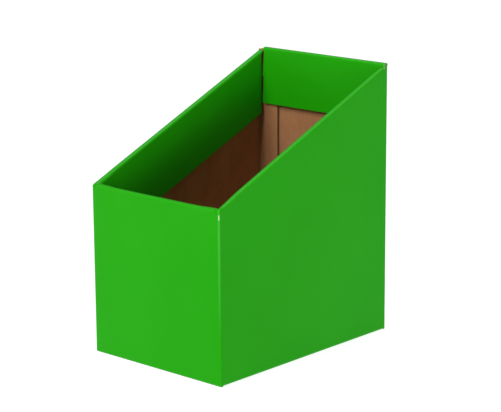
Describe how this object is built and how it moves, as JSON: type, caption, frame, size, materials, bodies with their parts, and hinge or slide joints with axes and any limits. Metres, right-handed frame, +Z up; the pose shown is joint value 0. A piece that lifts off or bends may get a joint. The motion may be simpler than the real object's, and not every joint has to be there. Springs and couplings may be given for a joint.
{
  "type": "book box",
  "caption": "Open-topped corrugated board book box with a low front, tall back, sloping sides, rolled rims, fold-in flaps and a tuck-in base.",
  "frame": {"origin": "middle of the underside, on the surface the box stands on", "axes": "+Z up, -Y towards the low front wall, +X towards the right wall seen from the front"},
  "size_m": [0.174, 0.254, 0.283],
  "materials": {
    "board": "plain brown corrugated board",
    "print": "green print under a glossy clear film",
    "glue": "thin dried carton glue"
  },
  "bodies": {
    "walls": {"front_wall_board": "board", "front_wall_facing": "print", "back_wall_board": "board", "back_wall_facing": "print", "right_wall_board": "board", "right_wall_facing": "print", "left_wall_board": "board", "left_wall_facing": "print", "glue_tab": "board", "glue_line": "glue"},
    "front_rim": {"front_rim_board": "board", "front_rim_facing": "print"},
    "back_rim": {"back_rim_board": "board", "back_rim_facing": "print"},
    "right_rim": {"right_rim_board": "board", "right_rim_facing": "print"},
    "left_rim": {"left_rim_board": "board", "left_rim_facing": "print"},
    "front_flap": {"front_flap_board": "board", "front_flap_facing": "print"},
    "back_flap": {"back_flap_board": "board", "back_flap_facing": "print"},
    "right_flap": {"right_flap_board": "board", "right_flap_facing": "print"},
    "left_flap": {"left_flap_board": "board", "left_flap_facing": "print"},
    "base_panel": {"base_panel_board": "board", "base_panel_facing": "print"},
    "tuck_tongue": {"tuck_tongue_board": "board", "tuck_tongue_facing": "print"},
    "front_dust_flap": {"front_dust_flap_board": "board", "front_dust_flap_facing": "print"},
    "back_dust_flap": {"back_dust_flap_board": "board", "back_dust_flap_facing": "print"}
  },
  "joints": [
    {"name": "front_rim_unroll", "type": "hinge", "parent": "walls", "child": "front_rim", "pos_m": [0, -0.127, 0.1745], "axis": [1, 0, 0], "range_deg": [0, 90]},
    {"name": "back_rim_unroll", "type": "hinge", "parent": "walls", "child": "back_rim", "pos_m": [0, 0.127, 0.283], "axis": [-1, 0, 0], "range_deg": [0, 90]},
    {"name": "right_rim_unroll", "type": "hinge", "parent": "walls", "child": "right_rim", "pos_m": [0.087, 0, 0.228], "axis": [0, 0.9216, 0.3882], "range_deg": [0, 90]},
    {"name": "left_rim_unroll", "type": "hinge", "parent": "walls", "child": "left_rim", "pos_m": [-0.087, 0, 0.228], "axis": [0, -0.9216, -0.3882], "range_deg": [0, 90]},
    {"name": "front_flap_lift", "type": "hinge", "parent": "front_rim", "child": "front_flap", "pos_m": [0, -0.1205, 0.1745], "axis": [1, 0, 0], "range_deg": [0, 87]},
    {"name": "back_flap_lift", "type": "hinge", "parent": "back_rim", "child": "back_flap", "pos_m": [0, 0.1205, 0.283], "axis": [-1, 0, 0], "range_deg": [0, 87]},
    {"name": "right_flap_lift", "type": "hinge", "parent": "right_rim", "child": "right_flap", "pos_m": [0.0805, 0, 0.228], "axis": [0, 0.9216, 0.3882], "range_deg": [0, 87]},
    {"name": "left_flap_lift", "type": "hinge", "parent": "left_rim", "child": "left_flap", "pos_m": [-0.0805, 0, 0.228], "axis": [0, -0.9216, -0.3882], "range_deg": [0, 87]},
    {"name": "base_open", "type": "hinge", "parent": "walls", "child": "base_panel", "pos_m": [0.087, 0, 0], "axis": [0, -1, 0], "range_deg": [0, 90]},
    {"name": "tongue_unfold", "type": "hinge", "parent": "base_panel", "child": "tuck_tongue", "pos_m": [-0.0818, 0, 0], "axis": [0, -1, 0], "range_deg": [0, 90]},
    {"name": "front_dust_flap_lift", "type": "hinge", "parent": "walls", "child": "front_dust_flap", "pos_m": [0, -0.1239, 0.0064], "axis": [1, 0, 0], "range_deg": [0, 90]},
    {"name": "back_dust_flap_lift", "type": "hinge", "parent": "walls", "child": "back_dust_flap", "pos_m": [0, 0.1239, 0.0064], "axis": [-1, 0, 0], "range_deg": [0, 90]}
  ],
  "couplings": [
    {"joint": "tongue_unfold", "follows": "base_open", "ratio": 1}
  ]
}
